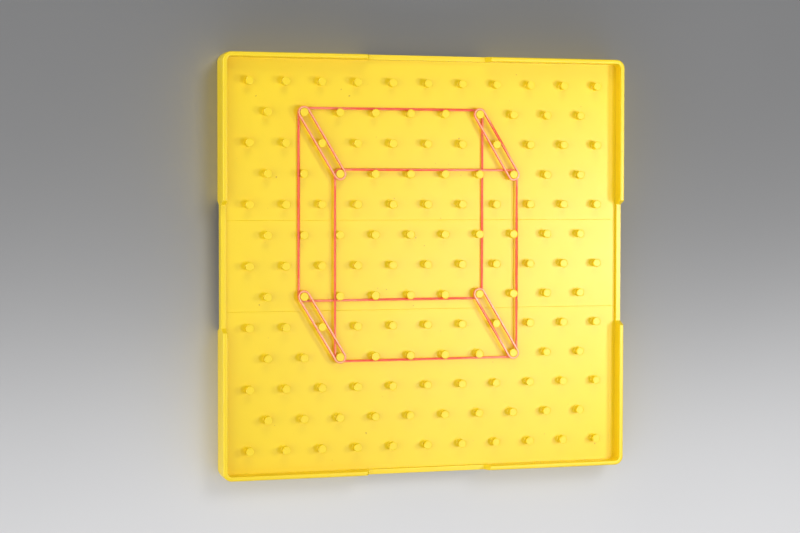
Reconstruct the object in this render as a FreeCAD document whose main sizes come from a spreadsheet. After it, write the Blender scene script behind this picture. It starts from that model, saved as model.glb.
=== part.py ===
# Double-sided peg board with six rubber bands stretched over its front pegs.
#
# The board lies flat. +Z points out of its front face, +Y is the top of the figure the bands
# draw, and the back rim rests on Z = 0. Lengths are in millimetres.
#
# The board is one moulding. It is written as its floor panel, four rim walls, four rim corners
# and its rows of pegs, which meet face to face and belong to one rigid body. Every band is a
# closed rubber loop of its own.
import FreeCAD
import Part
import os
import math
import Sketcher

V = FreeCAD.Vector
doc = FreeCAD.newDocument("peg_board")

# ---------------------------------------------------------------- sizes
SIZES = [
    # the board
    ("board_size", 230.8, "outer width and height, at the parting line"),
    ("board_depth", 18.0, "back rim to front rim"),
    ("floor_thick", 2.4, "floor panel"),
    ("corner_round", 5.0, "outer corner radius"),
    ("outer_draft", 0.15, "how far the outer wall leans in, from parting line to shoulder"),
    ("shoulder_in", 0.75, "sloped outer shoulder of the rim, measured across the wall"),
    ("shoulder_drop", 1.5, "the same shoulder, measured down the wall"),
    ("rim_flat", 1.65, "flat top of the rim"),
    ("inner_draft", 0.3, "how much thicker the wall is at the floor than at the rim"),
    ("notch_width", 66.6, "finger notch, along its floor"),
    ("notch_run", 2.1, "length of each sloped end of a notch"),
    ("notch_drop", 5.6, "depth of a notch below the rim"),
    # the pegs
    ("peg_height", 4.5, "floor to tip"),
    ("stem_radius", 1.85, "peg stem"),
    ("head_radius", 2.35, "peg head"),
    ("flare_start", 2.7, "height where the stem starts to widen"),
    ("flare_end", 3.7, "height where the head is full size"),
    ("tip_bevel", 0.15, "bevel round the tip"),
    ("dish_radius", 1.9, "shallow dish in the tip"),
    ("dish_depth", 0.15, "depth of that dish"),
    ("peg_pitch", 20.0, "peg to peg along a row, both faces"),
    ("front_rows", 13, "rows on the front, shifted half a pitch every other row"),
    ("front_span", 200.0, "first front row to last front row"),
    ("back_rows", 11, "rows on the back, a square grid"),
    ("long_row", 11, "pegs in a full row"),
    # the bands
    ("band_width", 1.2, "band section, along the pegs"),
    ("band_thick", 0.9, "band section, outward from the pegs"),
    ("band_clear", 0.1, "gap between a band and the peg heads it goes round"),
    ("band_gap", 0.1, "gap between stacked bands, and below the lowest"),
]
sheet = doc.addObject("Spreadsheet::Sheet", "sizes")
VAL = {}
for line, (alias, value, note) in enumerate(SIZES, start=1):
    sheet.set("A%d" % line, alias.replace("_", " "))
    sheet.set("B%d" % line, str(value))
    sheet.set("C%d" % line, note)
    sheet.setAlias("B%d" % line, alias)
    VAL[alias] = value
doc.recompute()


def S(text):
    """Expression text in which every size name points at the spreadsheet."""
    for alias in sorted(VAL, key=len, reverse=True):
        text = text.replace("$" + alias, "sizes." + alias)
    return text


def number(text):
    """The value the same expression has now."""
    for alias in sorted(VAL, key=len, reverse=True):
        text = text.replace("$" + alias, "(%r)" % VAL[alias])
    return FreeCAD.Units.Quantity(text).Value


# Sizes used in many places, written as expressions of the sheet.
WALL_TOP = "($outer_draft + $shoulder_in + $rim_flat)"          # wall thickness at the rim
WALL_FOOT = "($outer_draft + $shoulder_in + $rim_flat + $inner_draft)"
FLOOR_TOP = "(($board_depth + $floor_thick) / 2)"
FLOOR_LOW = "(($board_depth - $floor_thick) / 2)"
ROW_PITCH = "($front_span / ($front_rows - 1))"
BAND_IN = "($head_radius + $band_clear)"


# ---------------------------------------------------------------- helpers
def origin_plane(body, role):
    return next(f for f in body.Origin.OriginFeatures if f.Role == role)


def new_body(label, where=None, turn=0.0):
    """A sub-part. where holds three expressions for its place; turn is degrees about +Z."""
    body = doc.addObject("PartDesign::Body", label)
    body.Label = label
    body.AllowCompound = True
    body.Placement = FreeCAD.Placement(V(0, 0, 0), FreeCAD.Rotation(V(0, 0, 1), turn))
    for axis, text in zip("xyz", where or ()):
        body.setExpression("Placement.Base." + axis, S(text))
    return body


def new_sketch(body, name, role):
    sketch = body.newObject("Sketcher::SketchObject", name)
    sketch.AttachmentSupport = [(origin_plane(body, role), "")]
    sketch.MapMode = "FlatFace"
    return sketch


def pin(sketch, geo, pos, x_text, y_text, tag):
    """Tie one point of a sketch to two sizes."""
    for kind, text in (("X", x_text), ("Y", y_text)):
        value = number(text)
        name = tag + kind.lower()
        if abs(value) < 1e-9 and text == "0":
            ends = (geo, pos, -1 if kind == "Y" else -2)
            sketch.addConstraint(Sketcher.Constraint("PointOnObject", *ends))
            continue
        i = sketch.addConstraint(Sketcher.Constraint("Distance" + kind, -1, 1, geo, pos, value))
        sketch.renameConstraint(i, name)
        sketch.setExpression("Constraints." + name, S(text))


def polygon(sketch, corners):
    """Closed outline through points given as pairs of expressions."""
    spots = [V(number(x), number(y), 0) for x, y in corners]
    count = len(spots)
    first = len(sketch.Geometry)
    for i in range(count):
        sketch.addGeometry(Part.LineSegment(spots[i], spots[(i + 1) % count]), False)
    for i in range(count):
        nxt = first + (i + 1) % count
        sketch.addConstraint(Sketcher.Constraint("Coincident", first + i, 2, nxt, 1))
    for i, (x, y) in enumerate(corners):
        pin(sketch, first + i, 1, x, y, "p%d" % i)


def pad(body, sketch, length, both_ways=False):
    feature = body.newObject("PartDesign::Pad", "pad")
    feature.Profile = sketch
    feature.setExpression("Length", S(length))
    feature.Midplane = both_ways
    return feature


def pocket(body, sketch, length):
    feature = body.newObject("PartDesign::Pocket", "notch")
    feature.Profile = sketch
    feature.setExpression("Length", S(length))
    feature.Midplane = True
    return feature


# ---------------------------------------------------------------- the board
def rim_section(x_of):
    """Outline of the wall, the same towards the front rim and the back rim."""
    half = [
        ("0", "$board_depth / 2"),
        ("$outer_draft", "$board_depth - $shoulder_drop"),
        ("$outer_draft + $shoulder_in", "$board_depth"),
        (WALL_TOP, "$board_depth"),
        (WALL_FOOT, FLOOR_TOP),
    ]
    mirrored = [(WALL_FOOT, FLOOR_LOW), (WALL_TOP, "0"), ("$outer_draft + $shoulder_in", "0"),
                ("$outer_draft", "$shoulder_drop")]
    return [(x_of(x), z) for x, z in half + mirrored]


def floor_panel():
    body = new_body("floor_panel", ("0", "0", FLOOR_LOW))
    half = "($board_size / 2 - %s)" % WALL_FOOT
    sketch = new_sketch(body, "panel_outline", "XY_Plane")
    polygon(sketch, [("-" + half, "-" + half), (half, "-" + half), (half, half), ("-" + half, half)])
    slab = pad(body, sketch, "$floor_thick")
    doc.recompute()
    upright = []
    for i, edge in enumerate(slab.Shape.Edges, start=1):
        low, high = edge.Vertexes[0].Point, edge.Vertexes[-1].Point
        if abs(low.x - high.x) + abs(low.y - high.y) < 1e-6:
            upright.append("Edge%d" % i)
    corners = body.newObject("PartDesign::Fillet", "panel_corners")
    corners.Base = (slab, upright)
    corners.setExpression("Radius", S("$corner_round - %s" % WALL_FOOT))
    return body


def rim_wall(label, turn):
    """A straight wall with a finger notch in each face, made on the -X side and then turned."""
    body = new_body(label, turn=turn)
    section = new_sketch(body, "wall_section", "XZ_Plane")
    polygon(section, rim_section(lambda x: "%s - $board_size / 2" % x))
    pad(body, section, "$board_size - 2 * $corner_round", both_ways=True)
    low, high = "($notch_width / 2)", "($notch_width / 2 + $notch_run)"
    faces = {"front": ("$board_depth - $notch_drop", "$board_depth"), "back": ("$notch_drop", "0")}
    for face, (z_low, z_rim) in faces.items():
        outline = new_sketch(body, face + "_notch", "YZ_Plane")
        polygon(outline, [("-" + low, z_low), (low, z_low), (high, z_rim), ("-" + high, z_rim)])
        pocket(body, outline, "2 * $board_size")
    return body


def rim_corner(label, x_sign, y_sign, turn):
    """A quarter turn of the same wall section about the corner's centre."""
    place = "%s * ($board_size / 2 - $corner_round)"
    body = new_body(label, (place % x_sign, place % y_sign, "0"), turn)
    section = new_sketch(body, "corner_section", "XZ_Plane")
    polygon(section, rim_section(lambda x: "$corner_round - (%s)" % x))
    feature = body.newObject("PartDesign::Revolution", "corner")
    feature.Profile = section
    feature.ReferenceAxis = (section, ["V_Axis"])
    feature.Angle = 90.0
    return body


def peg_row(label, side, pegs, start_x, y):
    """Separate pegs along +X. side is +1 for the front face and -1 for the back face."""
    body = new_body(label, (start_x, y, FLOOR_TOP if side > 0 else FLOOR_LOW))
    up = (lambda z: z) if side > 0 else (lambda z: "0" if z == "0" else "-(%s)" % z)
    profile = [
        ("0", "0"),
        ("$stem_radius", "0"),
        ("$stem_radius", "$flare_start"),
        ("$head_radius", "$flare_end"),
        ("$head_radius", "$peg_height - $tip_bevel"),
        ("$head_radius - $tip_bevel", "$peg_height"),
        ("$dish_radius", "$peg_height"),
        ("$dish_radius - $dish_depth", "$peg_height - $dish_depth"),
        ("0", "$peg_height - $dish_depth"),
    ]
    sketch = new_sketch(body, "peg_profile", "XZ_Plane")
    polygon(sketch, [(x, up(z)) for x, z in profile])
    peg = body.newObject("PartDesign::Revolution", "peg")
    peg.Profile = sketch
    peg.ReferenceAxis = (sketch, ["V_Axis"])
    peg.Angle = 360.0
    row = body.newObject("PartDesign::LinearPattern", "row")
    row.Originals = [peg]
    row.Direction = (origin_plane(body, "X_Axis"), [""])
    row.setExpression("Occurrences", S(pegs))
    row.setExpression("Length", S("$peg_pitch * (%s - 1)" % pegs))
    body.Tip = row
    return body


# ---------------------------------------------------------------- the bands
def front_peg(row, column):
    """Expressions for the place of a front peg: row 0 is the top one, columns count in pitches."""
    return "((%r - 5) * $peg_pitch)" % column, "((6 - %r) * %s)" % (row, ROW_PITCH)


def loop(sketch, centres, radius, tag):
    """Taut closed loop round the centres, which are listed anticlockwise."""
    spots = [V(number(x), number(y), 0) for x, y in centres]
    count, r = len(spots), number(radius)
    outward = []
    for i in range(count):
        run = spots[(i + 1) % count] - spots[i]
        outward.append(math.atan2(-run.x, run.y))
    first = len(sketch.Geometry)
    for i in range(count):
        start, stop = outward[i - 1], outward[i]
        while stop <= start:
            stop += 2 * math.pi
        circle = Part.Circle(spots[i], V(0, 0, 1), r)
        sketch.addGeometry(Part.ArcOfCircle(circle, start, stop), False)
    for i in range(count):
        lift = V(math.cos(outward[i]) * r, math.sin(outward[i]) * r, 0)
        side = Part.LineSegment(spots[i] + lift, spots[(i + 1) % count] + lift)
        sketch.addGeometry(side, False)
    for i in range(count):
        side, nxt = first + count + i, first + (i + 1) % count
        sketch.addConstraint(Sketcher.Constraint("Tangent", first + i, 2, side, 1))
        sketch.addConstraint(Sketcher.Constraint("Tangent", side, 2, nxt, 1))
    for i, (x, y) in enumerate(centres):
        pin(sketch, first + i, 3, x, y, "%s%d" % (tag, i))
        name = "%sr%d" % (tag, i)
        k = sketch.addConstraint(Sketcher.Constraint("Radius", first + i, r))
        sketch.renameConstraint(k, name)
        sketch.setExpression("Constraints." + name, S(radius))


def band(label, pegs, level):
    """One rubber band. level 0 lies on the floor, 1 over it, 2 on top."""
    z = "%s + $band_gap + %d * ($band_width + $band_gap)" % (FLOOR_TOP, level)
    body = new_body(label, ("0", "0", z))
    centres = [front_peg(row, column) for row, column in pegs]
    sketch = new_sketch(body, "band_outline", "XY_Plane")
    loop(sketch, centres, "%s + $band_thick" % BAND_IN, "out")
    loop(sketch, centres, BAND_IN, "inn")
    pad(body, sketch, "$band_width")
    return body


# ---------------------------------------------------------------- build
parts = [floor_panel()]
for label, turn in (("rim_left", 0), ("rim_bottom", 90), ("rim_right", 180), ("rim_top", 270)):
    parts.append(rim_wall(label, turn))
for label, x_sign, y_sign, turn in (
    ("corner_top_right", "1", "1", 0),
    ("corner_top_left", "-1", "1", 90),
    ("corner_bottom_left", "-1", "-1", 180),
    ("corner_bottom_right", "1", "-1", 270),
):
    parts.append(rim_corner(label, x_sign, y_sign, turn))

for r in range(VAL["front_rows"]):
    short = r % 2
    pegs = "($long_row - %d)" % short
    start = "-($peg_pitch * (%s - 1) / 2)" % pegs
    y = "$front_span / 2 - %d * %s" % (r, ROW_PITCH)
    parts.append(peg_row("front_peg_row_%02d" % (r + 1), 1, pegs, start, y))
for r in range(VAL["back_rows"]):
    start = "-($peg_pitch * ($long_row - 1) / 2)"
    y = "$peg_pitch * (($back_rows - 1) / 2 - %d)" % r
    parts.append(peg_row("back_peg_row_%02d" % (r + 1), -1, "$long_row", start, y))

BACK_SQUARE = [(1, 1.5), (7, 1.5), (7, 6.5), (1, 6.5)]
FRONT_SQUARE = [(3, 2.5), (9, 2.5), (9, 7.5), (3, 7.5)]
parts.append(band("band_back_square", BACK_SQUARE, 0))
parts.append(band("band_front_square", FRONT_SQUARE, 1))
names = ("top_left", "bottom_left", "bottom_right", "top_right")
for name, far, near in zip(names, BACK_SQUARE, FRONT_SQUARE):
    parts.append(band("band_depth_" + name, [far, near], 2))

# ---------------------------------------------------------------- check and write
doc.recompute()
for item in doc.Objects:
    if "Invalid" in item.State or "Error" in item.State:
        raise RuntimeError("%s is %s" % (item.Label, item.State))
os.makedirs("parts", exist_ok=True)
for body in parts:
    shape = body.Shape
    if shape.isNull() or not shape.isValid() or not shape.Solids:
        raise RuntimeError("%s has no valid solid" % body.Label)
    shape.exportStep("parts/%s.step" % body.Label)
    print("%-22s %2d solids %10.2f mm3" % (body.Label, len(shape.Solids), shape.Volume))
print(len(parts), "sub-parts")
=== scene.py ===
# %% [markdown]
# A double-sided peg board with rubber bands
#
# The real object is one yellow moulding: a flat floor with short pegs on both faces and a
# rim all round. Six coral rubber bands are stretched over the front pegs, and together they
# draw the outline of a box. The measured model is loaded first and never moved. Everything
# after that is modelled around it, in metres, in the same frame.

# %% Load the measured model
import math
import bpy
from mathutils import Matrix, Vector


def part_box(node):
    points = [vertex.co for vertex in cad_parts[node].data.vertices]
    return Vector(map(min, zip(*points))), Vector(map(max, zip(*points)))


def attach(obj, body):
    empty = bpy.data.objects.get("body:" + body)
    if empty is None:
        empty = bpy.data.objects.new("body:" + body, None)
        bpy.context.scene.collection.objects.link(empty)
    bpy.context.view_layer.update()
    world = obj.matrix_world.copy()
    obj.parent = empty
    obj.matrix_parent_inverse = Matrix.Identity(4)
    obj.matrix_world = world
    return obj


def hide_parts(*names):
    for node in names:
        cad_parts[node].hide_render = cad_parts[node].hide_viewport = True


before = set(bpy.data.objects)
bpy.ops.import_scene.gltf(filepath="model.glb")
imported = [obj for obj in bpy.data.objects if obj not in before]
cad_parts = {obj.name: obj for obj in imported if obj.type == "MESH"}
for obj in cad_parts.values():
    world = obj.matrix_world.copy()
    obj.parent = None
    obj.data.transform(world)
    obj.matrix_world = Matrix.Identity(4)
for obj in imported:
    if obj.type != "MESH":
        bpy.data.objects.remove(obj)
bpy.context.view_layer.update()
MM = 0.001
# Two points closer than SAME are in one place or at one level; a piece of mesh that spans
# less than HAIR is flat.
SAME = 0.01 * MM
HAIR = 0.001 * MM

# %% [markdown]
# Sizes
#
# The sizes could be typed in again, but then the two models could drift apart. So every
# position comes from the boxes of the measured nodes: the floor panel says where the
# floor lies, the rim walls say how wide and deep the board is, and a row of pegs says how
# tall a peg is.

# %% Read the sizes from the nodes
floor_low, floor_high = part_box("floor_panel")
wall_low, wall_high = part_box("rim_left")
SIDE = -wall_low[0]
DEPTH = wall_high[2]
FLOOR_TOP = floor_high[2]
FLOOR_LOW = floor_low[2]
peg_low, peg_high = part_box("front_peg_row_01")
PEG_TALL = peg_high[2] - FLOOR_TOP
HEAD = (peg_high[1] - peg_low[1]) / 2
PITCH = (peg_high[0] - peg_low[0] - 2 * HEAD) / 10
last_low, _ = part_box("front_peg_row_13")
ROW_STEP = (peg_low[1] - last_low[1]) / 12
print("board %.1f mm wide and %.1f mm deep" % (2 * SIDE / MM, DEPTH / MM))
print("pegs %.1f mm tall and %.1f mm apart" % (PEG_TALL / MM, PITCH / MM))
print("rows %.2f mm apart" % (ROW_STEP / MM))

# %% [markdown]
# Camera
#
# The board is seen from above its front face, from a good way to the left and just above
# its middle. A long lens keeps the rows of pegs nearly parallel. The camera could be aimed
# by a constraint, but three plain directions are exact and easy to check. The small shift
# only frames the board.

# %% Set up the camera
EYE = Vector((-0.2766, 0.0421, 0.9417))
LOOK = Vector((0.27022, -0.02946, -0.96235))
RIGHT = Vector((0.96277, 0.00117, 0.27031))
LENS = 78.82
FRAME_SHIFT = -0.0329
camera_data = bpy.data.cameras.new("camera")
camera_data.sensor_width = 36.0
camera_data.lens = LENS
camera_data.shift_y = FRAME_SHIFT
camera_data.clip_start = 0.05
camera = bpy.data.objects.new("camera", camera_data)
bpy.context.scene.collection.objects.link(camera)
back = -LOOK.normalized()
right = (RIGHT - back * RIGHT.dot(back)).normalized()
up = back.cross(right)
turn = Matrix((right, up, back)).transposed().to_4x4()
camera.matrix_world = Matrix.Translation(EYE) @ turn
bpy.context.scene.camera = camera
print("camera %.2f m from the board" % (EYE - Vector((0, 0, FLOOR_TOP))).length)

# %% [markdown]
# Floor and light
#
# The key is a small soft light on the right, near the board, so the pegs' shadows fan out
# to the left. A second one stands where the satin plastic half mirrors it towards the eye.
# It adds the pale haze that grows across the board to the right. Very large boxes on the
# left and the near side and a smaller one on the far side open up the shadows, and a low
# strip lights the outside of the left wall. Fewer, smaller lamps would be simpler, but each
# of them would draw its own hard shadow behind every peg.

# %% Studio floor
bpy.ops.object.select_all(action="DESELECT")
FLOOR_SPAN = 4.0
bpy.ops.mesh.primitive_plane_add(size=FLOOR_SPAN, location=(0, 0, 0))
floor = bpy.context.object
floor.name = "studio_floor"
print("floor %.0f m wide" % FLOOR_SPAN)


# %% Lights on the board
KEY_POWER = 0.95
HAZE_POWER = 2.0
STRIP_POWER = 1.1
ROOM_POWER = 4.9
LEFT_SHARE = 2.1
CENTRE = (0.0, 0.0, FLOOR_TOP)
STRIP_LEVEL = 0.03


def soft_light(name, place, target, size, power, tall=None):
    """A soft light that faces a target; tall makes it an oblong."""
    data = bpy.data.lights.new(name, "AREA")
    data.shape = "DISK" if tall is None else "RECTANGLE"
    data.size = size
    if tall is not None:
        data.size_y = tall
    data.energy = power
    lamp = bpy.data.objects.new(name, data)
    aim = Vector(target) - Vector(place)
    lamp.rotation_euler = aim.to_track_quat("-Z", "Y").to_euler()
    lamp.location = place
    lamp.visible_camera = False
    bpy.context.scene.collection.objects.link(lamp)
    return lamp


board_lamps = [
    soft_light("key", (0.36, 0.0, 0.40), CENTRE, 0.09, KEY_POWER),
    soft_light("haze_box", (0.34, -0.08, 0.93), CENTRE, 0.22, HAZE_POWER),
    soft_light("left_strip", (-0.6, 0.0, STRIP_LEVEL), (0.0, 0.0, STRIP_LEVEL), 0.8,
               STRIP_POWER, tall=0.05),
    soft_light("left_box", (-1.0, 0.0, 0.95), CENTRE, 1.6, LEFT_SHARE * ROOM_POWER),
    soft_light("far_box", (0.0, 1.1, 0.9), CENTRE, 0.6, ROOM_POWER),
    soft_light("near_box", (0.0, -1.1, 0.9), CENTRE, 1.7, ROOM_POWER),
]
print(len(board_lamps), "lights on the board")

# %% [markdown]
# The pale floor is lit on its own, so that it falls off smoothly from the near side to the
# far side and only a soft shadow of the board lies on it. Light linking does that: the
# lights above leave the floor out. A wide panel over its near half and one soft light on
# the far right light nothing else.

# %% Light on the floor, and the room's own light
WASH_POWER = 14.0
FILL_POWER = 16.0
WORLD_LEVEL = 0.15


def link_light(lamp, piece, state):
    """Let a light reach only this piece (INCLUDE), or everything but this piece (EXCLUDE)."""
    group = bpy.data.collections.new(lamp.name + "_reach")
    group.objects.link(piece)
    group.collection_objects[0].light_linking.link_state = state
    lamp.light_linking.receiver_collection = group


for lamp in board_lamps:
    link_light(lamp, floor, "EXCLUDE")
floor_lamps = [
    soft_light("floor_wash", (0.0, -1.03, 0.1), (0.0, -1.03, 0.0), 2.4, WASH_POWER, tall=1.95),
    soft_light("floor_fill", (1.0, 1.5, 2.4), (0.0, 0.0, 0.0), 1.2, FILL_POWER),
]
for lamp in floor_lamps:
    link_light(lamp, floor, "INCLUDE")

world = bpy.data.worlds.new("studio")
bpy.context.scene.world = world
world.use_nodes = True
room = world.node_tree.nodes["Background"]
room.inputs["Color"].default_value = (0.98, 0.99, 1.0, 1.0)
room.inputs["Strength"].default_value = WORLD_LEVEL
bpy.context.scene.view_settings.view_transform = "Standard"
print(len(floor_lamps), "lights on the floor, room light", WORLD_LEVEL)

# %% [markdown]
# Finishes
#
# Every finish is built from the same few shader nodes: noise in Object coordinates, a colour
# ramp, and bump. Pictures could be used instead, but noise has no seams, needs no file and
# stays sharp from close by. These helpers make the nodes.

# %% Helpers for materials
def new_material(name):
    """A material with a Principled shader, and the nodes and links to add to."""
    material = bpy.data.materials.new(name)
    material.use_nodes = True
    tree = material.node_tree
    return material, tree.nodes, tree.links, tree.nodes["Principled BSDF"]


def add_node(nodes, kind, **inputs):
    """A shader node with its sockets set by name."""
    node = nodes.new(kind)
    for socket, value in inputs.items():
        node.inputs[socket].default_value = value
    return node


def noise(nodes, links, coordinates, scale, detail=3.0):
    """Noise in Object coordinates; scale is in lumps per metre."""
    node = add_node(nodes, "ShaderNodeTexNoise", Scale=scale, Detail=detail)
    links.new(coordinates.outputs["Object"], node.inputs["Vector"])
    return node


def ramp(nodes, links, source, stops):
    """A colour ramp through (position, colour) stops."""
    node = nodes.new("ShaderNodeValToRGB")
    links.new(source, node.inputs["Fac"])
    while len(node.color_ramp.elements) < len(stops):
        node.color_ramp.elements.new(0.5)
    for element, (place, colour) in zip(node.color_ramp.elements, stops):
        element.position = place
        element.color = (*colour, 1.0)
    return node


print("helpers for materials ready")

# %% [markdown]
# The board's plastic
#
# The board is a satin injection-moulded plastic: deep yellow, a little see-through at thin
# edges, with the fine grain of the mould and a few specks of dust. One flat colour would do
# for its wide floor, but it would look like paint. So slow noise shifts the tint a little,
# fast noise cut off near its top leaves rare specks, and very fine noise is the grain.

# %% Yellow moulded plastic
def board_plastic():
    """Satin yellow plastic with faint clouds, dust specks and mould grain."""
    material, nodes, links, shader = new_material("yellow_moulded_plastic")
    where = nodes.new("ShaderNodeTexCoord")
    cloud = noise(nodes, links, where, 18.0, 2.0)
    tint = ramp(nodes, links, cloud.outputs["Fac"],
                ((0.35, (0.895, 0.650, 0.004)), (0.65, (0.92, 0.668, 0.006))))
    specks = noise(nodes, links, where, 420.0, 1.0)
    dirt = ramp(nodes, links, specks.outputs["Fac"],
                ((0.795, (1.0, 1.0, 1.0)), (0.81, (0.70, 0.58, 0.40))))
    mix = nodes.new("ShaderNodeMix")
    mix.data_type = "RGBA"
    mix.blend_type = "MULTIPLY"
    mix.inputs["Factor"].default_value = 1.0
    links.new(tint.outputs["Color"], mix.inputs["A"])
    links.new(dirt.outputs["Color"], mix.inputs["B"])
    links.new(mix.outputs["Result"], shader.inputs["Base Color"])
    shader.inputs["Subsurface Weight"].default_value = 0.1
    shader.inputs["Subsurface Radius"].default_value = (1.0, 0.95, 0.1)
    shader.inputs["Subsurface Scale"].default_value = 0.001
    shader.inputs["Specular IOR Level"].default_value = 0.65
    gloss = noise(nodes, links, where, 60.0, 4.0)
    rough = nodes.new("ShaderNodeMapRange")
    rough.inputs["To Min"].default_value = 0.35
    rough.inputs["To Max"].default_value = 0.40
    links.new(gloss.outputs["Fac"], rough.inputs["Value"])
    links.new(rough.outputs["Result"], shader.inputs["Roughness"])
    grain = noise(nodes, links, where, 2600.0, 2.0)
    bump = add_node(nodes, "ShaderNodeBump", Strength=0.06, Distance=0.0004)
    links.new(grain.outputs["Fac"], bump.inputs["Height"])
    links.new(bump.outputs["Normal"], shader.inputs["Normal"])
    return material


PLASTIC = board_plastic()
print("board finish:", PLASTIC.name)

# %% [markdown]
# The bands' rubber
#
# The bands are cut from rubber tube and are coral red. The faces that lie turned up get a
# painted highlight: a paler coral that stands for the glossy reflection of the light from
# above. The highlight could follow the direction that a face has in the room, but then it
# would change when a band is turned. So each band stores how far up each of its faces turns
# in an attribute named "turned_up", and the rubber reads that. The loose bands get a
# stronger painted highlight, so there are two rubbers, which differ only in that.

# %% Coral rubber
# The pale coral of the painted highlight, and how far up a face turns where it is full.
PAINTED_HIGHLIGHT = (0.96, 0.47, 0.26, 1.0)
PAINTED_HIGHLIGHT_FULL = 0.994


def band_rubber(name, highlight_from, highlight_share):
    """Coral rubber with a painted highlight: paler, by highlight_share at most, where a face
    turns up past highlight_from.
    """
    material, nodes, links, shader = new_material(name)
    where = nodes.new("ShaderNodeTexCoord")
    cloud = noise(nodes, links, where, 300.0, 4.0)
    tint = ramp(nodes, links, cloud.outputs["Fac"],
                ((0.3, (0.87, 0.066, 0.018)), (0.7, (0.92, 0.105, 0.032))))
    facing = nodes.new("ShaderNodeAttribute")
    facing.attribute_name = "turned_up"
    # Faces that turn up get a painted highlight: a paler coral, standing for glossy reflected
    # light, is mixed in.
    painted_highlight = ramp(nodes, links, facing.outputs["Fac"],
                 ((highlight_from, (0.0, 0.0, 0.0)), (PAINTED_HIGHLIGHT_FULL, (highlight_share,) * 3)))
    mix = nodes.new("ShaderNodeMix")
    mix.data_type = "RGBA"
    mix.inputs["B"].default_value = PAINTED_HIGHLIGHT
    links.new(painted_highlight.outputs["Color"], mix.inputs["Factor"])
    links.new(tint.outputs["Color"], mix.inputs["A"])
    links.new(mix.outputs["Result"], shader.inputs["Base Color"])
    shader.inputs["Roughness"].default_value = 0.34
    shader.inputs["Specular IOR Level"].default_value = 0.8
    shader.inputs["Subsurface Weight"].default_value = 0.5
    shader.inputs["Subsurface Radius"].default_value = (1.0, 0.25, 0.12)
    shader.inputs["Subsurface Scale"].default_value = 0.0015
    shader.inputs["Sheen Weight"].default_value = 0.3
    shader.inputs["Sheen Roughness"].default_value = 0.4
    shader.inputs["Sheen Tint"].default_value = (1.0, 0.82, 0.62, 1.0)
    grain = noise(nodes, links, where, 3500.0, 3.0)
    bump = add_node(nodes, "ShaderNodeBump", Strength=0.25, Distance=0.0002)
    links.new(grain.outputs["Fac"], bump.inputs["Height"])
    links.new(bump.outputs["Normal"], shader.inputs["Normal"])
    return material


# The squares' rubber has a faint painted highlight on faces turned up; the loose bands' rubber
# has a stronger one.
RUBBER = band_rubber("coral_rubber", 0.98, 0.4)
PALE_RUBBER = band_rubber("coral_rubber_strong_painted_highlight", 0.95, 0.9)
print("band finishes:", RUBBER.name, PALE_RUBBER.name)

# %% [markdown]
# The studio floor is a matt, pale grey card. A glossy one is just as easy, but it would show
# a second, mirrored board under the real one.

# %% Pale floor
def floor_paint():
    """A matt, nearly even pale grey."""
    material, nodes, links, shader = new_material("pale_floor")
    where = nodes.new("ShaderNodeTexCoord")
    cloud = noise(nodes, links, where, 3.0, 2.0)
    tint = ramp(nodes, links, cloud.outputs["Fac"],
                ((0.4, (0.62, 0.62, 0.63)), (0.6, (0.65, 0.65, 0.66))))
    links.new(tint.outputs["Color"], shader.inputs["Base Color"])
    shader.inputs["Roughness"].default_value = 0.9
    return material


floor.data.materials.append(floor_paint())
print("floor finish:", floor.data.materials[0].name)

# %% [markdown]
# Working in edit mode by code
#
# An operator acts on everything that is selected, so each step first deselects all and then
# picks its faces or edges by where they are. They could be picked by number, but the numbers
# change with every cut. These helpers pick by place.

# %% Helpers for edit mode
def start_clean():
    """Object mode with nothing selected."""
    if bpy.context.mode != "OBJECT":
        bpy.ops.object.mode_set(mode="OBJECT")
    bpy.ops.object.select_all(action="DESELECT")


def pick(piece, kind, test):
    """In edit mode, select only the vertices, edges or faces whose middle passes the test."""
    bpy.ops.mesh.select_mode(type=kind)
    bpy.ops.mesh.select_all(action="DESELECT")
    bpy.ops.object.mode_set(mode="OBJECT")
    mesh = piece.data
    group = {"VERT": mesh.vertices, "EDGE": mesh.edges, "FACE": mesh.polygons}[kind]
    picked = 0
    for item in group:
        if kind == "VERT":
            spots = [item.co]
        else:
            spots = [mesh.vertices[i].co for i in item.vertices]
        middle = sum(spots, Vector()) / len(spots)
        span = [max(s[i] for s in spots) - min(s[i] for s in spots) for i in range(3)]
        if test(middle, span):
            item.select = True
            picked += 1
    bpy.ops.object.mode_set(mode="EDIT")
    return picked


def at_level(middle, span, z):
    """Whether this bit of mesh lies flat at the height z."""
    return abs(middle.z - z) < SAME and span[2] < HAIR


def flat_at(z):
    """A test for pick: everything that lies flat at the height z."""
    return lambda middle, span: at_level(middle, span, z)


def scale_flat(x, y, z):
    """Scale the selection across by x and y about the board's middle, keeping its height z."""
    bpy.ops.transform.resize(value=(x, y, 1), center_override=(0, 0, z))


def apply_place(piece):
    """Put the object's place and size into its mesh."""
    start_clean()
    piece.select_set(True)
    bpy.context.view_layer.objects.active = piece
    bpy.ops.object.transform_apply(location=True, rotation=True, scale=True)


def add_modifier(piece, kind, **settings):
    """Add a modifier with these settings and apply it at once."""
    start_clean()
    bpy.context.view_layer.objects.active = piece
    modifier = piece.modifiers.new(kind.lower(), kind)
    for name, value in settings.items():
        setattr(modifier, name, value)
    bpy.ops.object.modifier_apply(modifier=modifier.name)


def dress(piece, material, body, slot, *nodes):
    """Give a finished piece its finish and its body, and hide the measured nodes that it stands
    for.
    """
    piece.data.materials.clear()
    piece.data.materials.append(material)
    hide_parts(*nodes)
    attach(piece, body)


print("helpers for edit mode ready")

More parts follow.
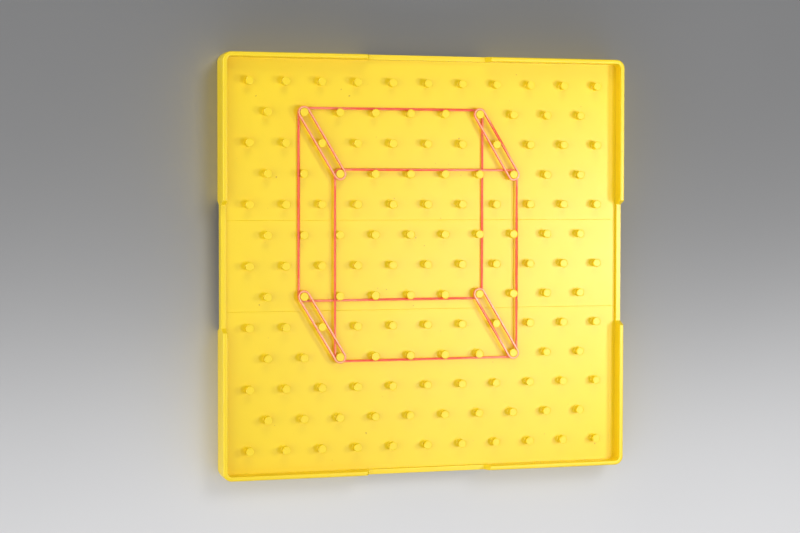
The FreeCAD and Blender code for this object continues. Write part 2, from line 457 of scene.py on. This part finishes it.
# %% [markdown]
# The board shell
#
# Floor, rim and corners are one moulding, so they are modelled as one piece. It starts as a
# block, gets round corners, and both faces are sunk to leave the rim. Four walls and a floor
# could be joined instead, but they would leave seams inside the moulding. The rim's outer
# shoulder is then rounded, the finger notches are cut, and last a small bevel softens every
# edge that is still sharp, as a mould does.

# %% Block, corners and the two sunk faces
CORNER = 5.0 * MM
CORNER_STEPS = 9
WALL = 2.55 * MM
DRAFT = 0.3 * MM
RIM_LEVELS = (DEPTH, 0.0)

start_clean()
bpy.ops.mesh.primitive_cube_add(size=1.0, location=(0, 0, DEPTH / 2),
                                scale=(2 * SIDE, 2 * SIDE, DEPTH))
shell = bpy.context.object
shell.name = "board_shell"
apply_place(shell)
bpy.ops.object.mode_set(mode="EDIT")
pick(shell, "EDGE", lambda middle, span: span[2] > DEPTH / 2)
bpy.ops.mesh.bevel(offset=CORNER, segments=CORNER_STEPS, affect="EDGES", offset_type="OFFSET")
lean = 1 - DRAFT / (SIDE - WALL)
for rim_z, sunk_z in zip(RIM_LEVELS, (FLOOR_TOP, FLOOR_LOW)):
    pick(shell, "FACE", flat_at(rim_z))
    bpy.ops.mesh.inset(thickness=WALL, use_even_offset=True)
    bpy.ops.mesh.extrude_region_move(TRANSFORM_OT_translate={"value": (0, 0, sunk_z - rim_z)})
    scale_flat(lean, lean, sunk_z)
bpy.ops.object.mode_set(mode="OBJECT")
print("shell starts with", len(shell.data.polygons), "faces")

# %% [markdown]
# The parting line
#
# It runs round the outside at half depth, where the two halves of the mould met: the wall
# leans in by a hair from there to each rim. A groove could mark it, but a real one is only
# this change of slope. So the wall is cut at half depth, and the rims are drawn in.

# %% Parting line
LEAN_OUT = 0.15 * MM
RIM_STRIP = 1.2 * MM
CORNER_STRIP = 1.34 * SIDE


def outer_points(rim_z):
    """Points of the rim's face along the outside of the board."""
    def test(middle, span):
        by_side = max(abs(middle.x), abs(middle.y)) > SIDE - RIM_STRIP
        by_corner = math.hypot(middle.x, middle.y) > CORNER_STRIP
        return at_level(middle, span, rim_z) and (by_side or by_corner)
    return test


bpy.ops.object.mode_set(mode="EDIT")
bpy.ops.mesh.select_all(action="SELECT")
bpy.ops.mesh.bisect(plane_co=(0, 0, DEPTH / 2), plane_no=(0, 0, 1))
shrink = 1 - LEAN_OUT / SIDE
for rim_z in RIM_LEVELS:
    pick(shell, "VERT", outer_points(rim_z))
    scale_flat(shrink, shrink, rim_z)
bpy.ops.object.mode_set(mode="OBJECT")
print("walls lean in by %.2f mm" % (LEAN_OUT / MM))

# %% [markdown]
# The rim's shoulder
#
# The outer shoulder of the rim is rounded and taller than it is wide, and the inner edge has
# a smaller round. A bevel is round in equal parts, so it is made first and then stretched
# down.

# %% Rounded rim
SHOULDER = 0.75 * MM
SHOULDER_STEPS = 5
SHOULDER_DROP = 1.5 * MM
INNER_ROUND = 0.55 * MM
INNER_STEPS = 3
EDGE_REACH = 0.4 * MM


def rim_edges(distance, rim_z):
    """Edges lying on the rim's face at a distance in from the outside of the board."""
    def test(middle, span):
        x, y = abs(middle.x), abs(middle.y)
        core = SIDE - CORNER
        if x > core and y > core:
            inward = CORNER - math.hypot(x - core, y - core)
        else:
            inward = SIDE - max(x, y)
        return at_level(middle, span, rim_z) and abs(inward - distance) < EDGE_REACH
    return test


def shoulder_points(rim_z):
    """Points of the fresh bevel below the rim's face, which are stretched down."""
    def test(middle, span):
        return HAIR < abs(middle.z - rim_z) < SHOULDER + SAME
    return test


bpy.ops.object.mode_set(mode="EDIT")
for rim_z in RIM_LEVELS:
    pick(shell, "EDGE", rim_edges(LEAN_OUT, rim_z))
    bpy.ops.mesh.bevel(offset=SHOULDER, segments=SHOULDER_STEPS, affect="EDGES")
    pick(shell, "VERT", shoulder_points(rim_z))
    bpy.ops.transform.resize(value=(1, 1, SHOULDER_DROP / SHOULDER),
                             center_override=(0, 0, rim_z))
    pick(shell, "EDGE", rim_edges(WALL, rim_z))
    bpy.ops.mesh.bevel(offset=INNER_ROUND, segments=INNER_STEPS, affect="EDGES")
bpy.ops.object.mode_set(mode="OBJECT")
print("rounded rim:", len(shell.data.polygons), "faces")

# %% [markdown]
# Finger notches
#
# Each side is lowered in the middle, on both faces, so that fingers can lift the board off a
# table. A notch has sloped ends. One wedge-shaped cutter, run right across the board, cuts
# the notches of two opposite walls at once.

# %% Cut the notches
NOTCH_HALF = 33.3 * MM
NOTCH_RUN = 2.1 * MM
NOTCH_DROP = 5.6 * MM


def notch_cutter(along_x, front):
    """A long wedge whose narrow side is the floor of the notch."""
    start_clean()
    reach, wide, tall = 3 * SIDE, 2 * NOTCH_HALF, 2 * NOTCH_DROP
    size = (reach, wide, tall) if along_x else (wide, reach, tall)
    middle_z = DEPTH if front else 0.0
    bpy.ops.mesh.primitive_cube_add(size=1.0, location=(0, 0, middle_z), scale=size)
    cutter = bpy.context.object
    apply_place(cutter)
    bpy.ops.object.mode_set(mode="EDIT")
    wide_z = middle_z + (NOTCH_DROP if front else -NOTCH_DROP)
    pick(cutter, "FACE", flat_at(wide_z))
    grow = (NOTCH_HALF + 2 * NOTCH_RUN) / NOTCH_HALF
    scale_flat(*((1, grow) if along_x else (grow, 1)), wide_z)
    bpy.ops.object.mode_set(mode="OBJECT")
    return cutter


def cut_away(piece, cutter):
    """Take the cutter's shape out of the piece."""
    add_modifier(piece, "BOOLEAN", operation="DIFFERENCE", object=cutter, solver="EXACT")
    bpy.data.objects.remove(cutter, do_unlink=True)


for along_x in (True, False):
    for front in (True, False):
        cut_away(shell, notch_cutter(along_x, front))
print("with notches:", len(shell.data.polygons), "faces")

# %% [markdown]
# A mould has no knife edges, so a small Bevel modifier rounds every edge that is still
# sharp: the edges of the notches and the foot of the walls.

# %% Soften the sharp edges
MOULD_ROUND = 0.22 * MM
SHELL_SHARP = math.radians(40)
add_modifier(shell, "BEVEL", width=MOULD_ROUND, segments=2, limit_method="ANGLE",
             angle_limit=SHELL_SHARP, use_clamp_overlap=True)
print("softened:", len(shell.data.polygons), "faces")

# %% [markdown]
# Marks that the mould leaves on the floor: two faint ridges across it, where inserts meet,
# and a shallow round left by an ejector pin near one corner. They are only about a tenth of
# a millimetre high or deep. A ridge is three bisect cuts, with the middle one raised.

# %% Mould marks
RIDGE_Y = 24.7 * MM
RIDGE_HALF = 0.12 * MM
RIDGE_TALL = 0.13 * MM
PIN_SPOT = (-104.0 * MM, -110.0 * MM)
PIN_RADIUS = 2.6 * MM
PIN_DEPTH = 0.12 * MM
PIN_SIDES = 32
PIN_TALL = 1.0 * MM

start_clean()
bpy.context.view_layer.objects.active = shell
bpy.ops.object.mode_set(mode="EDIT")
for line in (RIDGE_Y, -RIDGE_Y):
    for step in (-RIDGE_HALF, 0.0, RIDGE_HALF):
        pick(shell, "FACE", flat_at(FLOOR_TOP))
        bpy.ops.mesh.bisect(plane_co=(0, line + step, 0), plane_no=(0, 1, 0))
    raised = pick(shell, "VERT", lambda middle, span: abs(middle.z - FLOOR_TOP) < HAIR
                  and abs(middle.y - line) < HAIR)
    bpy.ops.transform.translate(value=(0, 0, RIDGE_TALL))
bpy.ops.object.mode_set(mode="OBJECT")
start_clean()
bpy.ops.mesh.primitive_cylinder_add(vertices=PIN_SIDES, radius=PIN_RADIUS, depth=PIN_TALL,
                                    location=(*PIN_SPOT, FLOOR_TOP - PIN_DEPTH + PIN_TALL / 2))
pin = bpy.context.object
apply_place(pin)
cut_away(shell, pin)
print("last ridge raised at", raised, "points")

# %% [markdown]
# Smooth shading blends normals across the small rounds into the wide flat faces, which would
# make the whole floor look tilted. Weighted normals let the large faces keep their own.

# %% Finish the shell
start_clean()
shell.select_set(True)
bpy.context.view_layer.objects.active = shell
bpy.ops.object.shade_smooth_by_angle(angle=SHELL_SHARP)
add_modifier(shell, "WEIGHTED_NORMAL", mode="FACE_AREA", weight=50, keep_sharp=True)
dress(shell, PLASTIC, "board", "board_plastic",
      "floor_panel", "rim_left", "rim_bottom", "rim_right", "rim_top",
      "corner_top_right", "corner_top_left", "corner_bottom_left", "corner_bottom_right")
print("shell:", len(shell.data.polygons), "faces")

# %% [markdown]
# The pegs
#
# A peg is a short stud: a small fillet at the floor, a straight stem, a head that flares out
# to keep a band on, and a shallow dish in its tip. Its outline could be spun like work on a
# lathe, but here one peg is modelled from a circle by extruding rings and scaling them,
# which keeps every ring's size in plain sight. It is then copied along every row. There are
# over two hundred, so each has only a few dozen faces.

# %% Model one peg
PEG_SIDES = 12
PEG_SHARP = math.radians(32)
# Radius and height above the floor of each ring, in mm: foot, stem, head, lip and dish.
PEG_RINGS = (
    (2.35, -0.15), (1.85, 0.35),
    (1.85, 2.6), (2.33, 3.6),
    (2.35, 4.33), (2.2, 4.5),
    (2.03, 4.46), (1.9, 4.36),
)


def model_peg():
    """One peg standing on z = 0, its foot just inside the floor, made ring by ring."""
    start_clean()
    radius, height = PEG_RINGS[0]
    bpy.ops.mesh.primitive_circle_add(vertices=PEG_SIDES, radius=radius * MM, fill_type="NGON",
                                      location=(0, 0, height * MM))
    peg = bpy.context.object
    peg.name = "peg_pattern"
    bpy.ops.object.mode_set(mode="EDIT")
    bpy.ops.mesh.select_all(action="SELECT")
    for next_radius, next_height in PEG_RINGS[1:]:
        rise = (next_height - height) * MM
        bpy.ops.mesh.extrude_region_move(TRANSFORM_OT_translate={"value": (0, 0, rise)})
        ratio = next_radius / radius
        scale_flat(ratio, ratio, next_height * MM)
        radius, height = next_radius, next_height
    bpy.ops.mesh.select_all(action="SELECT")
    bpy.ops.mesh.normals_make_consistent(inside=False)
    bpy.ops.object.mode_set(mode="OBJECT")
    return peg


peg_pattern = model_peg()
print("one peg:", len(peg_pattern.data.polygons), "faces")

# %% Copy it along the rows
def peg_row(node, face):
    """Make all the pegs of one row as a piece, on the front (1) or the back (-1) of the floor."""
    low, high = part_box(node)
    middle_y = (low[1] + high[1]) / 2
    stand_z = FLOOR_TOP if face > 0 else FLOOR_LOW
    count = round((high[0] - low[0] - 2 * HEAD) / PITCH) + 1
    copies = []
    for i in range(count):
        copy = peg_pattern.copy()
        copy.data = peg_pattern.data.copy()
        bpy.context.scene.collection.objects.link(copy)
        copy.location = (low[0] + HEAD + i * PITCH, middle_y, stand_z)
        if face < 0:
            copy.rotation_euler = (math.pi, 0, 0)
        copies.append(copy)
    start_clean()
    for copy in copies:
        copy.select_set(True)
    bpy.context.view_layer.objects.active = copies[0]
    bpy.ops.object.join()
    row = bpy.context.object
    row.name = node.replace("peg_row", "pegs_row")
    apply_place(row)
    bpy.ops.object.shade_smooth_by_angle(angle=PEG_SHARP)
    dress(row, PLASTIC, "board", "board_plastic", node)
    return count


FRONT_ROWS = 13
BACK_ROWS = 11
pegs = sum(peg_row("front_peg_row_%02d" % (i + 1), 1) for i in range(FRONT_ROWS))
pegs += sum(peg_row("back_peg_row_%02d" % (i + 1), -1) for i in range(BACK_ROWS))
bpy.data.objects.remove(peg_pattern, do_unlink=True)
print(pegs, "pegs")

# %% [markdown]
# The rubber bands
#
# A band is a flat strip of rubber, closed on itself. Stretched round pegs it runs straight
# between them and bends only where it touches one. A curve with a thickness could follow
# that path too, but its section can turn by itself at the corners. So the section is drawn
# once, as a bare ring of four edges, and carried along.

# %% Runs and section of a band
BAND_TALL = 1.2 * MM
BAND_THICK = 1.15 * MM
BAND_ROUND = 0.2 * MM
BAND_CORNER = math.radians(50)
BAND_SHARP = math.radians(35)
RUN_STEPS = 30
TURN_STEP = math.radians(12)
FEWEST_TURNS = 4
MIDDLE_ROW = 6
MIDDLE_COLUMN = 5


def peg_place(row, column):
    """Middle of a front peg: rows count down from the top, columns in pitches from the left."""
    return Vector(((column - MIDDLE_COLUMN) * PITCH, (MIDDLE_ROW - row) * ROW_STEP, 0))


def straight_runs(spots, radius):
    """Start, direction, outward side and length of each straight run round the spots."""
    runs = []
    for i, spot in enumerate(spots):
        way = spots[(i + 1) % len(spots)] - spot
        along = way.normalized()
        out = Vector((along.y, -along.x, 0))
        runs.append((spot + out * radius, along, out, way.length))
    return runs


def draw_section(node, start, out, height):
    """The band's section as a bare ring of four edges at the start of a run, all selected."""
    bpy.ops.mesh.primitive_plane_add(size=1.0, location=(0, 0, 0))
    band = bpy.context.object
    band.name = node
    halves = ((-0.5, -0.5), (0.5, -0.5), (-0.5, 0.5), (0.5, 0.5))
    for vertex, (u, v) in zip(band.data.vertices, halves):
        vertex.co = start + out * (u * BAND_THICK) + Vector((0, 0, height + v * BAND_TALL))
    bpy.ops.object.mode_set(mode="EDIT")
    bpy.ops.mesh.select_mode(type="FACE")
    bpy.ops.mesh.select_all(action="SELECT")
    bpy.ops.mesh.delete(type="ONLY_FACE")
    bpy.ops.mesh.select_mode(type="EDGE")
    bpy.ops.mesh.select_all(action="SELECT")
    return band


print("band section %.2f x %.2f mm" % (BAND_THICK / MM, BAND_TALL / MM))

# %% [markdown]
# Twisted runs
#
# Real bands twist along a run, because a cut strip never lies quite flat. A Simple Deform
# modifier would twist the whole band at once. So the points of each run are turned one by
# one about the run's own middle line: not at all at the pegs, and most at one place between.

# %% Twist the runs
def twist_runs(band, runs, height, twists):
    """Turn the sections of each run by up to twist degrees, most at the share peak of the run."""
    for vertex in band.data.vertices:
        for (start, along, out, length), (twist, peak) in zip(runs, twists):
            offset = vertex.co - start
            s = offset.dot(along)
            side = offset.dot(out)
            if -HAIR <= s <= length + HAIR and abs(side) < BAND_THICK:
                bend = math.log(0.5) / math.log(peak)
                share = math.sin(math.pi * min(max(s / length, 0), 1) ** bend)
                angle = math.radians(twist) * share
                tall = vertex.co.z - height
                new_side = side * math.cos(angle) - tall * math.sin(angle)
                new_tall = side * math.sin(angle) + tall * math.cos(angle)
                vertex.co = start + along * s + out * new_side
                vertex.co.z = height + new_tall
                break


print("twist helper ready")

# %% [markdown]
# One band
#
# The section is extruded along each straight run and spun round each peg until it meets its
# own start, where the doubled points are merged. The edges are rounded after the twist, so
# that the rounds follow it.

# %% Make one band
def store_turned_up(band):
    """Store on each face how far up it turns, from 0 to 1, for the rubber's painted highlight to
    read.
    """
    facing = band.data.attributes.new("turned_up", "FLOAT", "FACE")
    for face in band.data.polygons:
        facing.data[face.index].value = max(0.0, face.normal.z)


def make_band(node, body, stops, radius, height, twists, rubber=RUBBER):
    """A band round the stops, listed anticlockwise. radius is to the middle of the strip."""
    start_clean()
    spots = [peg_place(*stop) for stop in stops]
    runs = straight_runs(spots, radius)
    start, _, out, _ = runs[0]
    band = draw_section(node, start, out, height)
    for i, (_, along, _, length) in enumerate(runs):
        for _ in range(RUN_STEPS):
            step = along * (length / RUN_STEPS)
            bpy.ops.mesh.extrude_edges_move(TRANSFORM_OT_translate={"value": step})
        following = (i + 1) % len(runs)
        angle = along.angle(runs[following][1])
        peg = spots[following]
        bpy.ops.mesh.spin(steps=max(FEWEST_TURNS, round(angle / TURN_STEP)), angle=angle,
                          center=(peg.x, peg.y, height), axis=(0, 0, -1))
    bpy.ops.mesh.select_all(action="SELECT")
    bpy.ops.mesh.remove_doubles(threshold=HAIR)
    bpy.ops.mesh.normals_make_consistent(inside=False)
    bpy.ops.object.mode_set(mode="OBJECT")
    twist_runs(band, runs, height, twists)
    add_modifier(band, "BEVEL", width=BAND_ROUND, segments=2, limit_method="ANGLE",
                 angle_limit=BAND_CORNER)
    start_clean()
    band.select_set(True)
    bpy.context.view_layer.objects.active = band
    bpy.ops.object.shade_smooth_by_angle(angle=BAND_SHARP)
    store_turned_up(band)
    dress(band, rubber, body, "band_rubber", node)


def level(node):
    """Height of the middle of a measured band."""
    low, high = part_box(node)
    return (low[2] + high[2]) / 2


print("band helpers ready")

# %% [markdown]
# The six bands
#
# Two bands make the far and the near square of the drawn box, and four small loops join
# their corners. They lie at three levels on the pegs: the far square lowest, then the near
# one, then the loops. The squares are drawn tight round the stems and the loops are looser.

# %% Stretch the six bands
# Corner pegs of the far and the near square, as (row, column), anticlockwise from the top left.
FAR = [(1, 1.5), (7, 1.5), (7, 6.5), (1, 6.5)]
NEAR = [(3, 2.5), (9, 2.5), (9, 7.5), (3, 7.5)]
SNUG = 2.44 * MM
LOOSE = 2.93 * MM
BACK_RAISE = 0.02 * MM
FRONT_RAISE = 0.12 * MM
DEPTH_RAISE = 0.2 * MM
# One (degrees, peak) for each run: down the left, along the bottom, up the right and back
# along the top. A depth band has only two runs, away from the far square and back to it.
BACK_TWISTS = ((-40, 0.45), (24, 0.7), (32, 0.3), (-20, 0.3))
FRONT_TWISTS = ((-24, 0.4), (22, 0.25), (50, 0.5), (25, 0.75))
DEPTH_TWISTS = {
    "top_left": ((7, 0.5), (-6, 0.4)),
    "bottom_left": ((6, 0.6), (-8, 0.5)),
    "bottom_right": ((22, 0.4), (-6, 0.5)),
    "top_right": ((6, 0.5), (-20, 0.6)),
}
make_band("band_back_square", "back_square", FAR, SNUG, level("band_back_square") + BACK_RAISE,
          BACK_TWISTS)
make_band("band_front_square", "front_square", NEAR, SNUG,
          level("band_front_square") + FRONT_RAISE, FRONT_TWISTS)
for name, far, near in zip(DEPTH_TWISTS, FAR, NEAR):
    node = "band_depth_" + name
    make_band(node, "depth_" + name, [far, near], LOOSE, level(node) + DEPTH_RAISE,
              DEPTH_TWISTS[name], PALE_RUBBER)
print("six bands")

# %% [markdown]
# Last, the script says that the scene is ready.


print("scene ready")
